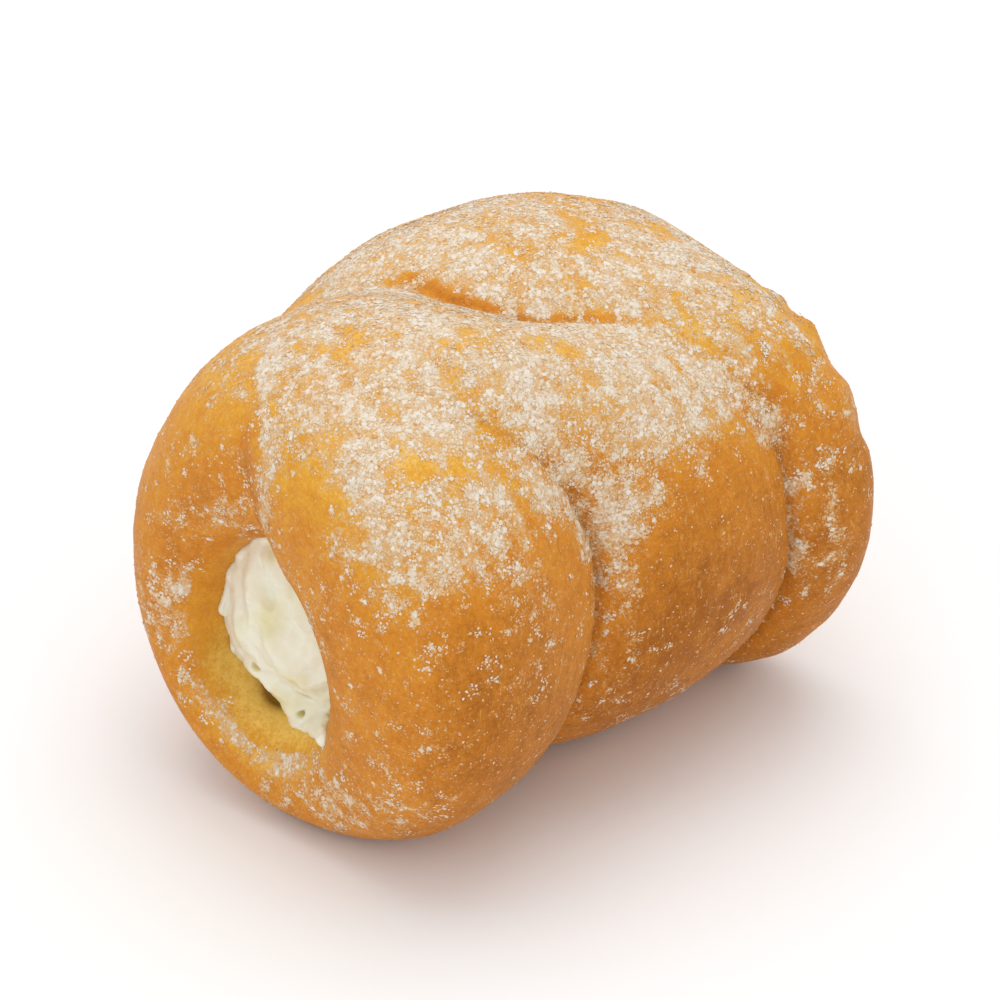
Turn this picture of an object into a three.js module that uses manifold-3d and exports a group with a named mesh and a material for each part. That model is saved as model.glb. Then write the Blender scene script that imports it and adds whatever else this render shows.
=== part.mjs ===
// Soft filled roll: one strip of sweet dough wound two and a half times round a bore,
// and a plug of ricotta cream that runs through the bore and shows at both ends.
// Sizes in millimetres, angles in degrees. The roll lies along X with its opening at low X.
// The place along the strip is the winding angle: it grows from the back end to the front tip,
// is 0 on top, 90 on the +Y side, 180 underneath and 270 on the -Y side, then goes on.
import * as THREE from "three";
import { mergeVertices } from "three/addons/utils/BufferGeometryUtils.js";
import Module from "manifold-3d";

// The strip
const START = -600;
const END = 368;
const TIP_RUN = 20;
const TIP_LEAN = 1.2;
const LAP = 4.9;
const BACK = 90.4;
const OUTER_EXPONENT = 2.2;
const INNER_EXPONENT = 3.0;

// Distance of the strip's outer side from the roll's middle line
const OUTER = curve(
  [-600, -540, -480, -435, -405, -375, -330, -285, -240, -150, -70, 10, 90, 135, 180, 225, 270, 368],
  [33, 35.7, 38.8, 40.3, 39.3, 38.2, 41.2, 41.6, 38.9, 38.3, 40.2, 38.9, 38.3, 37.1, 36.6, 36.1, 36.5, 35]);

// Where a turn meets the next one behind it
const SEAM = curve(
  [-240, -150, -90, -48, -30, -15, 0, 14, 30, 90, 150, 210, 240, 258, 275, 290, 305, 330, 352, 380],
  [75, 75.5, 74.7, 69.2, 59.8, 47.4, 43.5, 43, 37.7, 32, 35.6, 36.2, 34.5, 34.8, 37.8, 39.4, 39, 35.5, 30, 19]);

// How softly two turns run into each other, by the front turn's place
const JOIN = curve([-240, -85, -66, -48, -28, 0, 20, 45, 100, 285, 300, 318, 340, 355, 368],
  [3, 3, 3.5, 8, 6, 3, 5, 5, 3, 3, 3, 5, 6.5, 5, 3]);

// Front rim and back rim of the roll
const FRONT_RIM = curve([30, 120, 210, 300, 368], [5.6, 3.4, 3.5, -0.4, 5.4]);
const BACK_RIM = curve([-600, -540, -450, -360, -240], [-5, -2, 0, 0, -1.5]);

// Middle line of the roll, and the bore, which lies off it and is a little narrow at the front
const MIDDLE_Y = [5.9, -5.2];
const MIDDLE_Z = [35.9, 1.9, -1.2];
const TALL = 1.05;
const BORE = 13.7;
const BORE_NARROW = 0.16;
const BORE_OFF = [8.6, -7.0];
const BORE_OFF_RUN = 60;
// The strip is thickest this far out, as a share of the way from the bore to its outer side
const CORE_SHARE = 0.45;

// The ricotta
const CREAM_FRONT = 9.6;
const CREAM_BACK = 84.5;
const CREAM_DOME = 0.016;
const CREAM_SPREAD = 5;
const GAP = 0.45;

// Mesh steps, and where the two lattices start and how far they reach
const DOUGH_STEPS = { along: 3.0, turn: 6.2, out: 2.8 };
const DOUGH_LATTICE = { start: -6, length: BACK + 12, inner: 5, depth: 58 };
const CREAM_STEP = 3.0;
const CREAM_LATTICE = { start: 3, length: CREAM_BACK + 9, reach: BORE + CREAM_SPREAD + 4 };

// The block that cuts the roll flat where it rests
const TABLE = { side: 300, height: 60 };

const CREAM_LOOK = { color: 0xf3ecca, roughness: 0.45 };
const DOUGH_LOOK = { color: 0xd9983c, roughness: 0.6 };

// A smooth curve through a few named values
function curve(keys, values) {
  const last = keys.length - 1;
  const slope = values.map((_, i) => {
    const lo = Math.max(i - 1, 0);
    const hi = Math.min(i + 1, last);
    if (lo === i || hi === i) return (values[hi] - values[lo]) / (keys[hi] - keys[lo]);
    const before = keys[i] - keys[lo];
    const after = keys[hi] - keys[i];
    const rise = (values[i] - values[lo]) / before;
    const fall = (values[hi] - values[i]) / after;
    return (rise * after + fall * before) / (before + after);
  });
  return (at) => {
    const x = Math.min(Math.max(at, keys[0]), keys[last]);
    let i = 0;
    while (i < last - 1 && x >= keys[i + 1]) i += 1;
    const h = keys[i + 1] - keys[i];
    const u = (x - keys[i]) / h;
    const rise = values[i + 1] - values[i];
    const m0 = slope[i] * h;
    const m1 = slope[i + 1] * h;
    return values[i] + u * (m0 + u * (3 * rise - 2 * m0 - m1 + u * (m0 + m1 - 2 * rise)));
  };
}

function ease(x, from, to) {
  const t = Math.min(Math.max((x - from) / (to - from), 0), 1);
  return t * t * (3 - 2 * t);
}

// Smooth joining: the corner between two forms is filled over the given width
function softMin(a, b, width) {
  const h = Math.max(width - Math.abs(a - b), 0) / width;
  return Math.min(a, b) - h * h * width / 4;
}

function softMax(a, b, width) {
  return -softMin(-a, -b, width);
}

// Front and rear edge of the strip at one winding angle
function frontEdge(tau) {
  const bare = ease(tau + 360, END - 79, END + 11);
  return (1 - bare) * (SEAM(tau + 360) - LAP) + bare * FRONT_RIM(tau);
}

function rearEdge(tau) {
  const covered = ease(tau - 360, START - 20, START + 60);
  return covered * (SEAM(tau) + LAP) + (1 - covered) * (BACK + BACK_RIM(tau));
}

// Edges and radius are looked up from a table with one row for each degree
const FIRST = START - 60;
const ROWS = Array.from({ length: END - START + 121 }, (_, i) => {
  const tau = FIRST + i;
  return [frontEdge(tau), rearEdge(tau), OUTER(tau)];
});

function stripAt(tau) {
  const at = Math.min(Math.max(tau - FIRST, 0), ROWS.length - 1.001);
  const i = Math.floor(at);
  const u = at - i;
  return ROWS[i].map((value, n) => value * (1 - u) + ROWS[i + 1][n] * u);
}

// A point seen from the bore: how far along, how far out and at which angle
function seenFromBore(p) {
  const u = Math.min(Math.max(p.x / BACK, -0.2), 1.2);
  const bow = 4 * u * (1 - u);
  const off = 1 - ease(p.x, 0, BORE_OFF_RUN);
  const offY = -BORE_OFF[0] * off;
  const offZ = -BORE_OFF[1] * off;
  const y = p.y - MIDDLE_Y[0] * bow - MIDDLE_Y[1] * u + offY;
  const z = (p.z - MIDDLE_Z[0] - MIDDLE_Z[1] * bow - MIDDLE_Z[2] * u) / TALL + offZ;
  const rho = Math.hypot(y, z) + 1e-9;
  return { rho, theta: THREE.MathUtils.radToDeg(Math.atan2(y, z)), along: (offY * y + offZ * z) / rho,
    spare: offY * offY + offZ * offZ };
}

// One turn of the strip: a rounded section, closed off at the strip's two ends
function turn(x, place, tau) {
  const [front, rear, radius] = stripAt(tau);
  const outer = place.along
    + Math.sqrt(Math.max(radius * radius - place.spare + place.along * place.along, 1));
  const half = Math.max((rear - front) / 2, 3);
  const sideways = Math.sin(THREE.MathUtils.degToRad(tau)) ** 2;
  const bore = BORE * (1 - BORE_NARROW * (1 - ease(x, 0, BORE_OFF_RUN)) * sideways);
  const core = bore + (outer - bore) * CORE_SHARE;
  const rise = place.rho - core;
  const depth = rise > 0 ? outer - core : core - bore;
  const tip = END + TIP_LEAN * Math.min(Math.max(rise, -8), 14);
  const past = Math.max(tau - tip + TIP_RUN, 0) + Math.max(START + TIP_RUN - tau, 0);
  const n = INNER_EXPONENT + (OUTER_EXPONENT - INNER_EXPONENT) * ease(rise, -6, 4);
  const u = Math.abs(x - (rear + front) / 2) / half;
  const q = (u ** n + (Math.abs(rise) / depth) ** n + (past / TIP_RUN) ** n) ** (1 / n);
  return (q - 1) * Math.min(half, depth);
}

function dough(p) {
  const place = seenFromBore(p);
  let all = turn(p.x, place, place.theta - 720);
  for (let k = -1; k < 2; k += 1) {
    const tau = place.theta + 360 * k;
    all = softMin(all, turn(p.x, place, tau), JOIN(tau));
  }
  return all;
}

// Folds in the face of the cream
function folds(p) {
  return 0.9 * Math.sin(p.y * 0.42 + p.z * 0.17) * Math.cos(p.z * 0.31 - p.y * 0.12)
    + 0.5 * Math.sin(p.z * 0.55 + 1.3);
}

function cream(p) {
  const place = seenFromBore(p);
  const dome = place.rho * place.rho * CREAM_DOME;
  const faces = Math.max(CREAM_FRONT + dome + folds(p) - p.x, p.x - CREAM_BACK + dome + folds(p));
  const plug = softMax(faces, place.rho - BORE - CREAM_SPREAD, 2);
  return softMax(plug, GAP - dough(p), 0.6);
}

// Corners of a lattice cell, numbered by their bits, and the cell's edges
const CUBE = [0, 1, 2, 3, 4, 5, 6, 7];
const CUBE_EDGES = CUBE.flatMap((c) => [1, 2, 4].filter((step) => !(c & step)).map((step) => [c, c | step]));

// The skin of a solid on a lattice: one corner for each cell that the surface crosses
function skin(solid, counts, place, wraps) {
  const [ni, nj, nk] = counts;
  const nodes = [];
  for (let i = 0; i < ni; i += 1) {
    for (let j = 0; j < nj; j += 1) {
      for (let k = 0; k < nk; k += 1) {
        const point = place(i, j, k);
        nodes.push({ point, value: solid(point) });
      }
    }
  }
  const cellsJ = wraps ? nj : nj - 1;
  const node = (i, j, k) => nodes[(i * nj + (j % nj)) * nk + k];
  const cellNodes = (i, j, k) => CUBE.map(
    (c) => node(i + (c & 1), j + ((c >> 1) & 1), k + ((c >> 2) & 1)));
  fillNicks([ni - 1, cellsJ, nk - 1], cellNodes);
  const corners = [];
  const cornerOf = new Map();
  const cell = (i, j, k) => {
    const jj = wraps ? (j + nj) % nj : j;
    return cornerOf.get((i * cellsJ + jj) * nk + k);
  };
  for (let i = 0; i < ni - 1; i += 1) {
    for (let j = 0; j < cellsJ; j += 1) {
      for (let k = 0; k < nk - 1; k += 1) {
        const around = cellNodes(i, j, k);
        const crossed = CUBE_EDGES.filter(([a, b]) => around[a].value < 0 !== around[b].value < 0);
        if (!crossed.length) continue;
        cornerOf.set((i * cellsJ + j) * nk + k, corners.length);
        corners.push(crossing(around, crossed));
      }
    }
  }
  const reach = 0.4 * nodes[0].point.distanceTo(nodes[1].point);
  corners.forEach((corner) => settle(solid, corner, reach));
  const faces = [];
  const addQuad = (ring, flip) => {
    const [a, b, c, d] = flip ? [...ring].reverse() : ring;
    const shortFirst = corners[a].distanceTo(corners[c]) < corners[b].distanceTo(corners[d]);
    faces.push(...(shortFirst ? [a, b, c, a, c, d] : [b, c, d, b, d, a]));
  };
  for (let i = 1; i < ni - 1; i += 1) {
    for (let j = wraps ? 0 : 1; j < cellsJ; j += 1) {
      for (let k = 1; k < nk - 1; k += 1) {
        const here = node(i, j, k).value < 0;
        if (here !== node(i + 1, j, k).value < 0) {
          addQuad([cell(i, j - 1, k - 1), cell(i, j, k - 1), cell(i, j, k), cell(i, j - 1, k)], !here);
        }
        if (here !== node(i, j + 1, k).value < 0) {
          addQuad([cell(i - 1, j, k - 1), cell(i - 1, j, k), cell(i, j, k), cell(i, j, k - 1)], !here);
        }
        if (here !== node(i, j, k + 1).value < 0) {
          addQuad([cell(i - 1, j - 1, k), cell(i, j - 1, k), cell(i, j, k), cell(i - 1, j, k)], !here);
        }
      }
    }
  }
  return { corners, faces };
}

// Middle of the places where the surface crosses a cell's edges
function crossing(around, crossed) {
  const sum = new THREE.Vector3();
  for (const [a, b] of crossed) {
    const p = around[a];
    const q = around[b];
    sum.addScaledVector(p.point, q.value / (q.value - p.value));
    sum.addScaledVector(q.point, p.value / (p.value - q.value));
  }
  return sum.divideScalar(crossed.length);
}

// True where a cell's corners on one side of the surface hang together by its edges
function hangsTogether(chosen) {
  const first = chosen.indexOf(true);
  if (first < 0) return true;
  const seen = new Set([first]);
  for (const c of seen) {
    for (const step of [1, 2, 4]) if (chosen[c ^ step]) seen.add(c ^ step);
  }
  return seen.size === chosen.filter(Boolean).length;
}

// Fills nicks narrower than the lattice, so that the skin stays one plain sheet
function fillNicks([ni, nj, nk], cellNodes) {
  let filled = true;
  while (filled) {
    filled = false;
    for (let i = 0; i < ni; i += 1) {
      for (let j = 0; j < nj; j += 1) {
        for (let k = 0; k < nk; k += 1) {
          const around = cellNodes(i, j, k);
          const inside = around.map((n) => n.value < 0);
          if (inside.every((flag) => flag === inside[0])) continue;
          const outside = inside.map((flag) => !flag);
          if (hangsTogether(inside) && hangsTogether(outside)) continue;
          const open = around.filter((n) => n.value >= 0).sort((a, b) => a.value - b.value);
          open[0].value = -0.1;
          filled = true;
        }
      }
    }
  }
}

// Moves a corner onto the surface, no farther than the given reach
function settle(solid, corner, reach) {
  const small = 0.05;
  const start = corner.clone();
  const probe = corner.clone();
  const slope = new THREE.Vector3();
  for (let round = 0; round < 4; round += 1) {
    for (const axis of ["x", "y", "z"]) {
      probe.copy(corner)[axis] += small;
      const ahead = solid(probe);
      probe.copy(corner)[axis] -= small;
      slope[axis] = (ahead - solid(probe)) / (2 * small);
    }
    const step = solid(corner) / Math.max(slope.lengthSq(), 0.1);
    corner.addScaledVector(slope, -step);
  }
  corner.sub(start).clampLength(0, reach).add(start);
}

function doughSkin() {
  const { along, turn: degrees, out } = DOUGH_STEPS;
  const { start, length, inner, depth } = DOUGH_LATTICE;
  const around = Math.round(360 / degrees);
  const counts = [Math.ceil(length / along), around, Math.ceil(depth / out)];
  const place = (i, j, k) => {
    const x = start + i * along;
    const angle = (j / around) * 2 * Math.PI;
    const rho = inner + k * out;
    return boreFrame(x, rho * Math.sin(angle), rho * Math.cos(angle));
  };
  return skin(dough, counts, place, true);
}

// The point of the roll that lies y and z away from the bore's middle line
function boreFrame(x, y, z) {
  const u = Math.min(Math.max(x / BACK, -0.2), 1.2);
  const bow = 4 * u * (1 - u);
  const off = 1 - ease(x, 0, BORE_OFF_RUN);
  return new THREE.Vector3(x, y + MIDDLE_Y[0] * bow + MIDDLE_Y[1] * u + BORE_OFF[0] * off,
    (z + BORE_OFF[1] * off) * TALL + MIDDLE_Z[0] + MIDDLE_Z[1] * bow + MIDDLE_Z[2] * u);
}

function creamSkin() {
  const { start, length, reach } = CREAM_LATTICE;
  const across = Math.ceil((2 * reach) / CREAM_STEP) + 1;
  const counts = [Math.ceil(length / CREAM_STEP), across, across];
  const place = (i, j, k) => boreFrame(
    start + i * CREAM_STEP, j * CREAM_STEP - reach, k * CREAM_STEP - reach);
  return skin(cream, counts, place, false);
}

// Joins and cuts
const wasm = await Module();
wasm.setup();

function body({ corners, faces }) {
  const vertProperties = new Float32Array(corners.flatMap((c) => [c.x, c.y, c.z]));
  return new wasm.Manifold(new wasm.Mesh({ numProp: 3, vertProperties, triVerts: new Uint32Array(faces) }));
}

function table() {
  const { side, height } = TABLE;
  const box = new THREE.BoxGeometry(side, side, height).translate(0, 0, -height / 2);
  box.deleteAttribute("normal");
  box.deleteAttribute("uv");
  const merged = mergeVertices(box);
  const corners = [];
  for (let i = 0; i < merged.attributes.position.count; i += 1) {
    corners.push(new THREE.Vector3().fromBufferAttribute(merged.attributes.position, i));
  }
  return body({ corners, faces: [...merged.index.array] });
}

function geometryOf(solid) {
  const mesh = solid.getMesh();
  const geometry = new THREE.BufferGeometry();
  geometry.setAttribute("position", new THREE.BufferAttribute(new Float32Array(mesh.vertProperties), 3));
  geometry.setIndex(new THREE.BufferAttribute(new Uint32Array(mesh.triVerts), 1));
  return geometry;
}

function named(name, solid, look) {
  const mesh = new THREE.Mesh(geometryOf(solid), new THREE.MeshStandardMaterial(look));
  mesh.name = name;
  return mesh;
}

const doughBody = body(doughSkin()).subtract(table());
const creamBody = body(creamSkin());
const { min, max } = doughBody.boundingBox();
const group = new THREE.Group();
group.add(named("dough", doughBody, DOUGH_LOOK));
group.add(named("ricotta", creamBody, CREAM_LOOK));
for (const mesh of group.children) {
  mesh.geometry.translate(-(min[0] + max[0]) / 2, -(min[1] + max[1]) / 2, 0);
  mesh.geometry.computeVertexNormals();
}

export default group;
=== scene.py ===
# Looks of the filled roll: sugared dough wound round a plug of ricotta, on a plain pale floor.
# The form repeats the solid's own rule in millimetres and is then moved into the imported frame.
import math
import bpy
import numpy as np
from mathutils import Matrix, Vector


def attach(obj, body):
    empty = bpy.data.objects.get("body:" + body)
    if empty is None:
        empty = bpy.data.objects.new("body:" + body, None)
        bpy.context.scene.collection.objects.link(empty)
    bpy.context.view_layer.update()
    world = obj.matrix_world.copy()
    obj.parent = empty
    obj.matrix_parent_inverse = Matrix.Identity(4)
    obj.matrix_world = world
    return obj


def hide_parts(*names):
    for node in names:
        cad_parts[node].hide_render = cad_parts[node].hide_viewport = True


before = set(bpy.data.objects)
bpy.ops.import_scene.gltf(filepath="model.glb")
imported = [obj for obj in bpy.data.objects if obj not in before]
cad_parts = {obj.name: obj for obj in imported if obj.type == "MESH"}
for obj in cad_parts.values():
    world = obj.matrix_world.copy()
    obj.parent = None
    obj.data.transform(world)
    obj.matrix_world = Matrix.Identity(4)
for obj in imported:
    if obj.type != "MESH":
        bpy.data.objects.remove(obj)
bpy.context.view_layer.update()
MM = 0.001

# The strip, as in the solid
START = -600
END = 368
TIP_RUN = 20
TIP_LEAN = 1.2
LAP = 4.9
BACK = 90.4
OUTER_EXPONENT = 2.2
INNER_EXPONENT = 3.0
CREASE_WIDTH = 1.0
MIDDLE_Y = (5.9, -5.2)
MIDDLE_Z = (35.9, 1.9, -1.2)
TALL = 1.05
BORE = 13.7
BORE_NARROW = 0.16
BORE_OFF = (8.6, -7.0)
BORE_OFF_RUN = 60

# A pocket left open under the ricotta at the front: x, then y and z from the bore's middle, and radius
POCKET = (14.8, 3.6, -13.0, 2.3)

# The ricotta
CREAM_FRONT = 9.6
CREAM_BACK = 84.5
CREAM_DOME = 0.016
CREAM_SPREAD = 5
GAP = -0.12

# Mesh steps
DOUGH_STEP = 0.7
CREAM_STEP = 0.37

# The lattice that takes in the whole roll: its start and spare length along the roll, its least distance
# from the bore's middle and its reach outward
LATTICE_START = -6
LATTICE_SPARE = 12
LATTICE_INSIDE = 5
LATTICE_OUTWARD = 58

# Rough radius of the roll, and the one at which the strip's own length is measured
ROLL_RADIUS = 38
STRIP_RADIUS = 34


def curve(keys, values):
    """A smooth curve through a few named values."""
    keys, values = np.array(keys, float), np.array(values, float)
    span = np.diff(keys)
    rise = np.diff(values) / span
    slope = np.empty(len(keys))
    slope[1:-1] = (rise[:-1] * span[1:] + rise[1:] * span[:-1]) / (span[1:] + span[:-1])
    slope[0], slope[-1] = rise[0], rise[-1]

    def at(x):
        x = np.clip(x, keys[0], keys[-1])
        i = np.clip(np.searchsorted(keys, x, side="right") - 1, 0, len(keys) - 2)
        h = span[i]
        u = (x - keys[i]) / h
        d = values[i + 1] - values[i]
        m0, m1 = slope[i] * h, slope[i + 1] * h
        return values[i] + u * (m0 + u * (3 * d - 2 * m0 - m1 + u * (m0 + m1 - 2 * d)))
    return at


# By the angle of winding: radius of the roll, seam between two turns along it, and rims of its two ends
OUTER = curve(
    [-600, -540, -480, -435, -405, -375, -330, -285, -240, -150, -70, 10, 90, 135, 180, 225, 270, 368],
    [33, 35.7, 38.8, 40.3, 39.3, 38.2, 41.2, 41.6, 38.9,
     38.3, 40.2, 38.9, 38.3, 37.1, 36.6, 36.1, 36.5, 35])
SEAM = curve(
    [-240, -150, -90, -48, -30, -15, 0, 14, 30, 90, 150, 210, 240, 258, 275, 290, 305, 330, 352, 380],
    [75, 75.5, 74.7, 69.2, 59.8, 47.4, 43.5, 43, 37.7, 32,
     35.6, 36.2, 34.5, 34.8, 37.8, 39.4, 39, 35.5, 30, 19])
FRONT_RIM = curve([30, 120, 210, 300, 368], [5.6, 3.4, 3.5, -0.4, 5.4])
BACK_RIM = curve([-600, -540, -450, -360, -240], [-5, -2, 0, 0, -1.5])

# Where two turns meet: depth of the groove and softness of the join, by the front turn's place
CREASE = curve(
    [-240, -130, -85, -64, -50, -30, -16, 5, 25, 45, 80, 150, 220, 280, 300, 318, 345, 358, 370],
    [0.8, 1.0, 0.9, 0.4, 0.0, 0.0, 0.4, 0.35, 0.1,
     0.1, 0.7, 1.0, 1.1, 1.1, 0.7, 0.0, 0.0, 0.1, 0.4])
JOIN = curve([-240, -85, -66, -48, -28, 0, 20, 45, 100, 285, 300, 318, 340, 355, 368],
             [0.6, 0.6, 2.5, 8, 6, 2.0, 5, 5, 1.0, 0.6, 1.5, 5, 6.5, 5, 3])


def ease(x, low, high):
    t = np.clip((x - low) / (high - low), 0, 1)
    return t * t * (3 - 2 * t)


def soft_min(a, b, width):
    h = np.maximum(width - np.abs(a - b), 0) / width
    return np.minimum(a, b) - h * h * width / 4


def soft_max(a, b, width):
    return -soft_min(-a, -b, width)


# Front edge, rear edge and radius of the strip, one row for each degree of winding
TAUS = np.arange(START - 60, END + 61, 1.0)
BARE = ease(TAUS + 360, END - 79, END + 11)
COVERED = ease(TAUS - 360, START - 20, START + 60)
FRONTS = (1 - BARE) * (SEAM(TAUS + 360) - LAP) + BARE * FRONT_RIM(TAUS)
REARS = COVERED * (SEAM(TAUS) + LAP) + (1 - COVERED) * (BACK + BACK_RIM(TAUS))
OUTERS = OUTER(TAUS)


def bore_shift(x):
    """Offsets of the roll's middle line and of the bore from it, along the roll."""
    u = np.clip(x / BACK, -0.2, 1.2)
    bow = 4 * u * (1 - u)
    off = 1 - ease(x, 0, BORE_OFF_RUN)
    return (MIDDLE_Y[0] * bow + MIDDLE_Y[1] * u, MIDDLE_Z[0] + MIDDLE_Z[1] * bow + MIDDLE_Z[2] * u,
            BORE_OFF[0] * off, BORE_OFF[1] * off)


def from_bore(x, y, z):
    """The point of the roll that lies y and z away from the bore's middle line."""
    mid_y, mid_z, off_y, off_z = bore_shift(x)
    return np.stack(np.broadcast_arrays(x, y + mid_y + off_y, (z + off_z) * TALL + mid_z), -1)


def seen_from_bore(p):
    mid_y, mid_z, off_y, off_z = bore_shift(p[..., 0])
    y = p[..., 1] - mid_y - off_y
    z = (p[..., 2] - mid_z) / TALL - off_z
    return p[..., 0], np.hypot(y, z) + 1e-9, np.arctan2(y, z)


def bore_radius(x, theta):
    """The bore is round at the back and a little narrow at the front opening."""
    return BORE * (1 - BORE_NARROW * (1 - ease(x, 0, BORE_OFF_RUN)) * np.sin(theta) ** 2)


def turn(x, rho, theta, k):
    """One turn of the strip: a rounded section, closed off at the strip's two ends."""
    _, _, off_y, off_z = bore_shift(x)
    tau = np.degrees(theta) + 360 * k
    front, rear, radius = (np.interp(tau, TAUS, row) for row in (FRONTS, REARS, OUTERS))
    along = -(off_y * np.sin(theta) + off_z * np.cos(theta))
    spare = off_y ** 2 + off_z ** 2
    outer = along + np.sqrt(np.maximum(radius ** 2 - spare + along ** 2, 1))
    half = np.maximum((rear - front) / 2, 3)
    bore = bore_radius(x, theta)
    core = bore + (outer - bore) * 0.45
    rise = rho - core
    depth = np.where(rise > 0, outer - core, core - bore)
    tip = END + TIP_LEAN * np.clip(rise, -8, 14)
    past = np.maximum(tau - tip + TIP_RUN, 0) + np.maximum(START + TIP_RUN - tau, 0)
    n = INNER_EXPONENT + (OUTER_EXPONENT - INNER_EXPONENT) * ease(rise, -6, 4)
    u = np.abs(x - (rear + front) / 2) / half
    q = (u ** n + (np.abs(rise) / depth) ** n + (past / TIP_RUN) ** n) ** (1 / n)
    return (q - 1) * np.minimum(half, depth)


def dough_at(x, rho, theta, z):
    """All turns side by side, with a groove where two of them meet, cut flat by the ground."""
    turns = [turn(x, rho, theta, k) for k in range(-2, 2)]
    nearest = np.minimum.reduce(turns)
    whole = turns[0]
    groove = 0
    for k in range(-1, 2):
        behind, ahead = turns[k + 1], turns[k + 2]
        tau = np.degrees(theta) + 360 * k
        whole = soft_min(whole, ahead, JOIN(tau))
        apart = np.abs(ahead - behind) / CREASE_WIDTH
        above = (np.maximum(ahead, behind) - nearest) / 2
        groove = groove + CREASE(tau) * np.exp(-apart ** 2 - above ** 2)
    whole = whole + groove
    px, py, pz, size = POCKET
    away = np.sqrt((x - px) ** 2 + (rho * np.sin(theta) - py) ** 2 + (rho * np.cos(theta) - pz) ** 2)
    whole = soft_max(whole, size - away, 2.0)
    return soft_max(whole, -z, 2.0)


def dough(p):
    return dough_at(*seen_from_bore(p), p[..., 2])


def lump(p, size, seed):
    """Smooth random swelling from -1 to 1, with lumps of about the given size."""
    q = p / size + np.array([seed * 7.13, seed * 3.71, seed * 5.37])
    cell = np.floor(q).astype(np.int64)
    f = q - cell
    f = f * f * (3 - 2 * f)
    total = np.zeros(q.shape[:-1])
    for corner in range(8):
        bits = np.array([corner & 1, (corner >> 1) & 1, (corner >> 2) & 1])
        c = cell + bits
        h = (c[..., 0] * 73856093) ^ (c[..., 1] * 19349663) ^ (c[..., 2] * 83492791) ^ (seed * 2654435761)
        h = ((h ^ (h >> 13)) * 1274126177) & 0xFFFFFFFF
        value = ((h ^ (h >> 16)) & 0xFFFF) / 32767.5 - 1
        total += value * np.prod(np.where(bits, f, 1 - f), -1)
    return total


def slopes(solid, p):
    small = 0.05
    g = np.empty(p.shape)
    for axis in range(3):
        step = np.zeros(3)
        step[axis] = small
        g[..., axis] = (solid(p + step) - solid(p - step)) / (2 * small)
    return g


def settle(solid, p, reach):
    """Moves points onto the surface and gives its outward directions there."""
    start = p.copy()
    for _ in range(3):
        g = slopes(solid, p)
        p = p - g * (solid(p) / np.maximum((g * g).sum(-1), 0.1))[:, None]
    move = p - start
    far = np.linalg.norm(move, axis=-1, keepdims=True)
    p = start + move * np.minimum(1, reach / np.maximum(far, 1e-9))
    g = slopes(solid, p)
    return p, g / np.maximum(np.linalg.norm(g, axis=-1, keepdims=True), 1e-9)


def skin(values, place, wraps):
    """Surface of a solid on a lattice: one corner for each cell crossed, and quads between them."""
    inside = values < 0
    if wraps:
        values = np.concatenate([values, values[:, :1]], 1)
    v = values
    corners8 = [(a, b, c) for c in (0, 1) for b in (0, 1) for a in (0, 1)]
    ni, nj, nk = (n - 1 for n in v.shape)
    part = [v[a:a + ni, b:b + nj, c:c + nk] for a, b, c in corners8]
    count = sum((q < 0).astype(np.int8) for q in part)
    ci, cj, ck = np.nonzero((count > 0) & (count < 8))
    value = np.stack([q[ci, cj, ck] for q in part], 1)
    where = np.stack([place(ci + a, cj + b, ck + c) for a, b, c in corners8], 1)
    total = np.zeros((len(ci), 3))
    hits = np.zeros(len(ci))
    for a in range(8):
        for b in (a | 1, a | 2, a | 4):
            if a == b:
                continue
            cross = (value[:, a] < 0) != (value[:, b] < 0)
            t = np.where(cross, value[:, a] / np.where(cross, value[:, a] - value[:, b], 1), 0)
            total += np.where(cross[:, None], where[:, a] + (where[:, b] - where[:, a]) * t[:, None], 0)
            hits += cross
    number = np.full((ni, nj, nk), -1)
    number[ci, cj, ck] = np.arange(len(ci))
    quads = []
    for axis in range(3):
        ahead = np.roll(inside, -1, axis)
        change = inside != ahead
        i, j, k = np.nonzero(change[1:-1, :, 1:-1] if wraps else change[1:-1, 1:-1, 1:-1])
        i, k = i + 1, k + 1
        j = j if wraps else j + 1
        back = {0: (0, 1, 1), 1: (1, 0, 1), 2: (1, 1, 0)}[axis]
        one, two = [n for n in range(3) if back[n]]
        ring = []
        for s, t in ((1, 1), (0, 1), (0, 0), (1, 0)):
            shift = [0, 0, 0]
            shift[one], shift[two] = s, t
            jj = (j - shift[1]) % nj if wraps else j - shift[1]
            ring.append(number[i - shift[0], jj, k - shift[2]])
        quad = np.stack(ring, 1)
        flip = inside[i, j, k] == (axis == 1)
        quads.append(np.where(flip[:, None], quad[:, ::-1], quad))
    quads = np.concatenate(quads)
    return total / hits[:, None], quads[(quads >= 0).all(1)]


def add_mesh(name, points, faces, smooth=True):
    """A new object from arrays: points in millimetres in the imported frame, faces all of one length."""
    mesh = bpy.data.meshes.new(name)
    sides = faces.shape[1]
    mesh.vertices.add(len(points))
    mesh.vertices.foreach_set("co", (points * MM).astype(np.float32).ravel())
    mesh.loops.add(faces.size)
    mesh.loops.foreach_set("vertex_index", faces.astype(np.int32).ravel())
    mesh.polygons.add(len(faces))
    mesh.polygons.foreach_set("loop_start", np.arange(0, faces.size, sides, dtype=np.int32))
    mesh.polygons.foreach_set("use_smooth", np.full(len(faces), smooth))
    mesh.update(calc_edges=True)
    obj = bpy.data.objects.new(name, mesh)
    bpy.context.scene.collection.objects.link(obj)
    return obj


def add_values(obj, name, values):
    kind = "FLOAT" if values.ndim == 1 else "FLOAT_VECTOR"
    data = obj.data.attributes.new(name, kind, "POINT").data
    data.foreach_set("value" if values.ndim == 1 else "vector", values.astype(np.float32).ravel())


# Dough

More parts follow.
